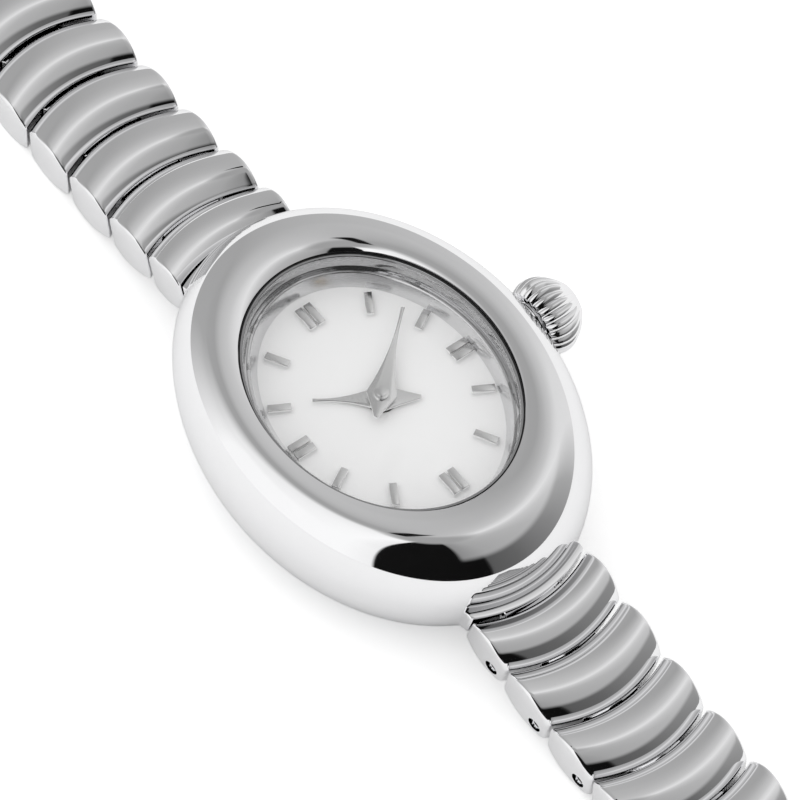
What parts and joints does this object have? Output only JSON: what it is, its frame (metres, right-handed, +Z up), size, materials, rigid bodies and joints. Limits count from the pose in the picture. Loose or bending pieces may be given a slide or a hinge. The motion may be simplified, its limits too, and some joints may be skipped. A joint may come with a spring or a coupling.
{
  "type": "wristwatch",
  "caption": "Small oval quartz wristwatch in polished steel with a bare white dial, ribbed crown and crescent link bracelet",
  "frame": {"origin": "centre of the case back, on its flat face, which is also the surface that the opened bracelet lies on", "axes": "+Z up through the dial, +Y to 12 o'clock along the bracelet, +X to 3 o'clock and the crown"},
  "size_m": [0.0249, 0.1647, 0.0093],
  "materials": {
    "polished_steel": "mirror polished stainless steel",
    "ring_steel": "satin turned steel",
    "satin_hand_steel": "fine satin nickel plate",
    "mineral_glass": "polished mineral glass",
    "black_rubber": "moulded nitrile",
    "white_dial_paint": "matt white lacquer on brass",
    "nickel_brass": "nickel plated brass",
    "wheel_brass": "cut and polished brass",
    "rotor_steel": "turned steel",
    "copper_wire": "lacquered copper winding",
    "board_resin": "green board resin",
    "can_steel": "drawn steel",
    "holder_plastic": "moulded acetal"
  },
  "bodies": {
    "root": {"case_body": "polished_steel", "lug_pins": "polished_steel", "crown_tube": "polished_steel", "crystal": "mineral_glass", "crystal_gasket": "black_rubber", "inner_ring": "ring_steel", "dial": "white_dial_paint", "hour_markers": "satin_hand_steel", "main_plate": "nickel_brass", "train_bridge": "nickel_brass", "movement_screws": "rotor_steel", "stator": "rotor_steel", "coil": "copper_wire", "circuit_board": "board_resin", "quartz_crystal": "can_steel", "battery": "can_steel", "battery_clamp": "rotor_steel", "movement_holder": "holder_plastic", "case_back": "polished_steel", "case_back_gasket": "black_rubber"},
    "minute_hand_body": {"minute_hand": "satin_hand_steel", "centre_wheel": "wheel_brass"},
    "hour_hand_body": {"hour_hand": "satin_hand_steel", "hour_wheel": "wheel_brass"},
    "minute_wheel_body": {"minute_wheel": "wheel_brass"},
    "third_wheel_body": {"third_wheel": "wheel_brass"},
    "rotor_body": {"rotor": "rotor_steel"},
    "setting_pinion_body": {"setting_pinion": "rotor_steel"},
    "crown_body": {"crown": "polished_steel", "stem": "rotor_steel", "crown_gasket": "black_rubber"},
    "link_12_01_body": {"link_12_01": "polished_steel"},
    "link_12_02_body": {"link_12_02": "polished_steel"},
    "link_12_03_body": {"link_12_03": "polished_steel"},
    "link_12_04_body": {"link_12_04": "polished_steel"},
    "link_12_05_body": {"link_12_05": "polished_steel"},
    "link_12_06_body": {"link_12_06": "polished_steel"},
    "link_12_07_body": {"link_12_07": "polished_steel"},
    "link_12_08_body": {"link_12_08": "polished_steel"},
    "link_12_09_body": {"link_12_09": "polished_steel"},
    "link_12_10_body": {"link_12_10": "polished_steel"},
    "link_12_11_body": {"link_12_11": "polished_steel"},
    "link_12_12_body": {"link_12_12": "polished_steel"},
    "link_12_13_body": {"link_12_13": "polished_steel"},
    "clasp_cover_body": {"clasp_cover": "polished_steel"},
    "clasp_blade_body": {"clasp_blade": "polished_steel"},
    "link_6_01_body": {"link_6_01": "polished_steel"},
    "link_6_02_body": {"link_6_02": "polished_steel"},
    "link_6_03_body": {"link_6_03": "polished_steel"},
    "link_6_04_body": {"link_6_04": "polished_steel"},
    "link_6_05_body": {"link_6_05": "polished_steel"},
    "link_6_06_body": {"link_6_06": "polished_steel"},
    "link_6_07_body": {"link_6_07": "polished_steel"},
    "link_6_08_body": {"link_6_08": "polished_steel"},
    "link_6_09_body": {"link_6_09": "polished_steel"},
    "link_6_10_body": {"link_6_10": "polished_steel"},
    "link_6_11_body": {"link_6_11": "polished_steel"},
    "link_6_12_body": {"link_6_12": "polished_steel"},
    "link_6_13_body": {"link_6_13": "polished_steel"},
    "clasp_bar_body": {"clasp_bar_piece": "polished_steel"}
  },
  "joints": [
    {"name": "minute_hand_turn", "type": "hinge", "parent": "root", "child": "minute_hand_body", "pos_m": [0, 0, 0.0071], "axis": [0, 0, -1], "continuous": true},
    {"name": "hour_hand_turn", "type": "hinge", "parent": "root", "child": "hour_hand_body", "pos_m": [0, 0, 0.0065], "axis": [0, 0, -1], "continuous": true},
    {"name": "minute_wheel_turn", "type": "hinge", "parent": "root", "child": "minute_wheel_body", "pos_m": [-0.0017, -0.0017, 0.0055], "axis": [0, 0, -1], "continuous": true},
    {"name": "third_wheel_turn", "type": "hinge", "parent": "root", "child": "third_wheel_body", "pos_m": [0.00247, -0.0009, 0.0035], "axis": [0, 0, -1], "continuous": true},
    {"name": "rotor_turn", "type": "hinge", "parent": "root", "child": "rotor_body", "pos_m": [0.00247, -0.00315, 0.0035], "axis": [0, 0, -1], "continuous": true},
    {"name": "crown_spin", "type": "hinge", "parent": "root", "child": "setting_pinion_body", "pos_m": [0.004, 0, 0.0049], "axis": [1, 0, 0], "continuous": true},
    {"name": "crown_pull", "type": "slide", "parent": "setting_pinion_body", "child": "crown_body", "axis": [1, 0, 0], "range_m": [0, 0.0006]},
    {"name": "hinge_12_01", "type": "hinge", "parent": "root", "child": "link_12_01_body", "pos_m": [0, 0.01323, 0.00372], "axis": [-1, 0, 0], "range_deg": [-3, 6]},
    {"name": "hinge_12_02", "type": "hinge", "parent": "link_12_01_body", "child": "link_12_02_body", "pos_m": [0, 0.01667, 0.00267], "axis": [-1, 0, 0], "range_deg": [0, 15]},
    {"name": "hinge_12_03", "type": "hinge", "parent": "link_12_02_body", "child": "link_12_03_body", "pos_m": [0, 0.02088, 0.00177], "axis": [-1, 0, 0], "range_deg": [-1, 14]},
    {"name": "hinge_12_04", "type": "hinge", "parent": "link_12_03_body", "child": "link_12_04_body", "pos_m": [0, 0.02514, 0.00117], "axis": [-1, 0, 0], "range_deg": [0, 15]},
    {"name": "hinge_12_05", "type": "hinge", "parent": "link_12_04_body", "child": "link_12_05_body", "pos_m": [0, 0.02943, 0.00095], "axis": [-1, 0, 0], "range_deg": [-2, 13]},
    {"name": "hinge_12_06", "type": "hinge", "parent": "link_12_05_body", "child": "link_12_06_body", "pos_m": [0, 0.03373, 0.00095], "axis": [-1, 0, 0], "range_deg": [-5, 10]},
    {"name": "hinge_12_07", "type": "hinge", "parent": "link_12_06_body", "child": "link_12_07_body", "pos_m": [0, 0.03803, 0.00095], "axis": [-1, 0, 0], "range_deg": [-5, 10]},
    {"name": "hinge_12_08", "type": "hinge", "parent": "link_12_07_body", "child": "link_12_08_body", "pos_m": [0, 0.04233, 0.00095], "axis": [-1, 0, 0], "range_deg": [-5, 10]},
    {"name": "hinge_12_09", "type": "hinge", "parent": "link_12_08_body", "child": "link_12_09_body", "pos_m": [0, 0.04663, 0.00095], "axis": [-1, 0, 0], "range_deg": [-5, 10]},
    {"name": "hinge_12_10", "type": "hinge", "parent": "link_12_09_body", "child": "link_12_10_body", "pos_m": [0, 0.05093, 0.00095], "axis": [-1, 0, 0], "range_deg": [-5, 10]},
    {"name": "hinge_12_11", "type": "hinge", "parent": "link_12_10_body", "child": "link_12_11_body", "pos_m": [0, 0.05523, 0.00095], "axis": [-1, 0, 0], "range_deg": [-5, 10]},
    {"name": "hinge_12_12", "type": "hinge", "parent": "link_12_11_body", "child": "link_12_12_body", "pos_m": [0, 0.05953, 0.00095], "axis": [-1, 0, 0], "range_deg": [-5, 10]},
    {"name": "hinge_12_13", "type": "hinge", "parent": "link_12_12_body", "child": "link_12_13_body", "pos_m": [0, 0.06383, 0.00095], "axis": [-1, 0, 0], "range_deg": [-5, 10]},
    {"name": "hinge_cover", "type": "hinge", "parent": "link_12_13_body", "child": "clasp_cover_body", "pos_m": [0, 0.06813, 0.00095], "axis": [-1, 0, 0], "range_deg": [-5, 10]},
    {"name": "hinge_blade", "type": "hinge", "parent": "clasp_cover_body", "child": "clasp_blade_body", "pos_m": [0, 0.08632, 0.00095], "axis": [-1, 0, 0], "range_deg": [-170, 0]},
    {"name": "hinge_6_01", "type": "hinge", "parent": "root", "child": "link_6_01_body", "pos_m": [0, -0.01323, 0.00372], "axis": [1, 0, 0], "range_deg": [-3, 6]},
    {"name": "hinge_6_02", "type": "hinge", "parent": "link_6_01_body", "child": "link_6_02_body", "pos_m": [0, -0.01667, 0.00267], "axis": [1, 0, 0], "range_deg": [0, 15]},
    {"name": "hinge_6_03", "type": "hinge", "parent": "link_6_02_body", "child": "link_6_03_body", "pos_m": [0, -0.02088, 0.00177], "axis": [1, 0, 0], "range_deg": [-1, 14]},
    {"name": "hinge_6_04", "type": "hinge", "parent": "link_6_03_body", "child": "link_6_04_body", "pos_m": [0, -0.02514, 0.00117], "axis": [1, 0, 0], "range_deg": [0, 15]},
    {"name": "hinge_6_05", "type": "hinge", "parent": "link_6_04_body", "child": "link_6_05_body", "pos_m": [0, -0.02943, 0.00095], "axis": [1, 0, 0], "range_deg": [-2, 13]},
    {"name": "hinge_6_06", "type": "hinge", "parent": "link_6_05_body", "child": "link_6_06_body", "pos_m": [0, -0.03373, 0.00095], "axis": [1, 0, 0], "range_deg": [-5, 10]},
    {"name": "hinge_6_07", "type": "hinge", "parent": "link_6_06_body", "child": "link_6_07_body", "pos_m": [0, -0.03803, 0.00095], "axis": [1, 0, 0], "range_deg": [-5, 10]},
    {"name": "hinge_6_08", "type": "hinge", "parent": "link_6_07_body", "child": "link_6_08_body", "pos_m": [0, -0.04233, 0.00095], "axis": [1, 0, 0], "range_deg": [-5, 10]},
    {"name": "hinge_6_09", "type": "hinge", "parent": "link_6_08_body", "child": "link_6_09_body", "pos_m": [0, -0.04663, 0.00095], "axis": [1, 0, 0], "range_deg": [-5, 10]},
    {"name": "hinge_6_10", "type": "hinge", "parent": "link_6_09_body", "child": "link_6_10_body", "pos_m": [0, -0.05093, 0.00095], "axis": [1, 0, 0], "range_deg": [-5, 10]},
    {"name": "hinge_6_11", "type": "hinge", "parent": "link_6_10_body", "child": "link_6_11_body", "pos_m": [0, -0.05523, 0.00095], "axis": [1, 0, 0], "range_deg": [-5, 10]},
    {"name": "hinge_6_12", "type": "hinge", "parent": "link_6_11_body", "child": "link_6_12_body", "pos_m": [0, -0.05953, 0.00095], "axis": [1, 0, 0], "range_deg": [-5, 10]},
    {"name": "hinge_6_13", "type": "hinge", "parent": "link_6_12_body", "child": "link_6_13_body", "pos_m": [0, -0.06383, 0.00095], "axis": [1, 0, 0], "range_deg": [-5, 10]},
    {"name": "hinge_bar_piece", "type": "hinge", "parent": "link_6_13_body", "child": "clasp_bar_body", "pos_m": [0, -0.06813, 0.00095], "axis": [1, 0, 0], "range_deg": [-5, 10]}
  ],
  "couplings": [
    {"joint": "hour_hand_turn", "follows": "minute_hand_turn", "ratio": 0.083333},
    {"joint": "minute_wheel_turn", "follows": "minute_hand_turn", "ratio": -0.33333},
    {"joint": "third_wheel_turn", "follows": "minute_hand_turn", "ratio": -6},
    {"joint": "rotor_turn", "follows": "minute_hand_turn", "ratio": 30}
  ]
}
